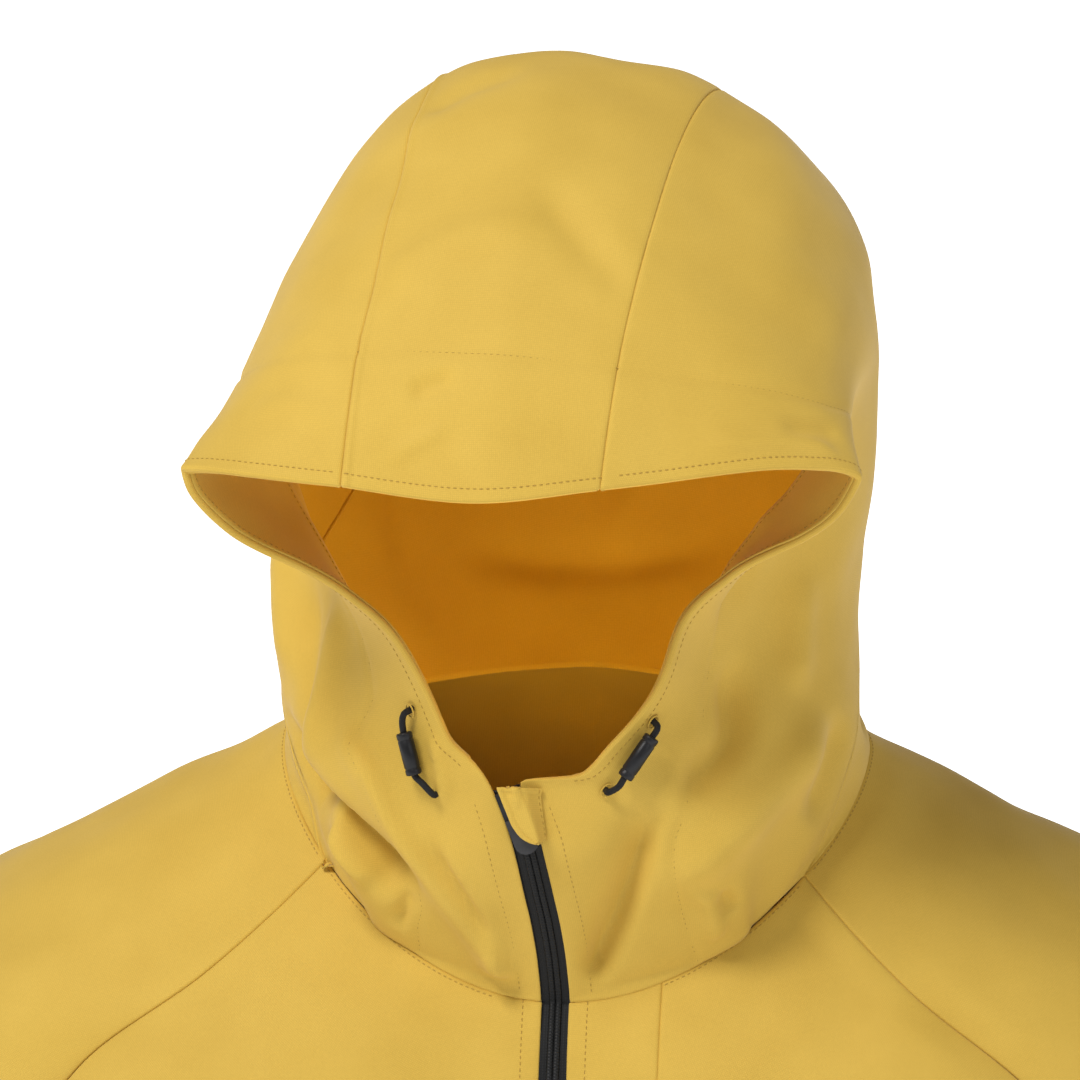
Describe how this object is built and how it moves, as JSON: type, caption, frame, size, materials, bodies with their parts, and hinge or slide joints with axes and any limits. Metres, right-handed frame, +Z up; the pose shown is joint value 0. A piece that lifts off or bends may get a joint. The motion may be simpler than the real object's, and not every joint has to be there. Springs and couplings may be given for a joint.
{
  "type": "anorak pullover",
  "caption": "Hooded raglan-sleeve anorak pullover with a half zip, chin guard and hood drawcords, filled out in its worn shape with the hood up and no wearer",
  "frame": {"origin": "middle of the neck seam at shoulder height, where the wearer's neck and shoulders hold the garment", "axes": "+Z up, the front faces -Y, +X towards the wearer's left (the viewer's right)"},
  "size_m": [1.0654, 0.2788, 0.9959],
  "materials": {
    "shell_cloth": "matt woven softshell, warm yellow",
    "facing_cloth": "matt woven softshell, inner side",
    "zip_black": "black woven zip tape and nylon coil",
    "slider_metal": "black painted die-cast",
    "pull_grey": "dark grey moulded",
    "cord_black": "black braided elastic cord",
    "barrel_black": "black moulded, satin"
  },
  "bodies": {
    "garment": {"hood_center_panel": "shell_cloth", "hood_side_left": "shell_cloth", "hood_side_right": "shell_cloth", "front_main": "shell_cloth", "front_chest_panel": "shell_cloth", "back_panel": "shell_cloth", "sleeve_left": "shell_cloth", "sleeve_right": "shell_cloth", "chin_guard": "shell_cloth", "hood_facing": "facing_cloth", "zip_tape_left": "zip_black", "zip_tape_right": "zip_black", "zip_coil": "zip_black", "zip_slider": "slider_metal", "drawcord_left": "cord_black", "drawcord_right": "cord_black", "cord_barrel_left": "barrel_black", "cord_barrel_right": "barrel_black"},
    "pull_tab": {"zip_pull": "pull_grey"}
  },
  "joints": [
    {"name": "pull_hinge", "type": "hinge", "parent": "garment", "child": "pull_tab", "pos_m": [-0.01567, -0.11386, 0.0153], "axis": [-0.9287, -0.0415, -0.3686], "range_deg": [0, 7]}
  ]
}
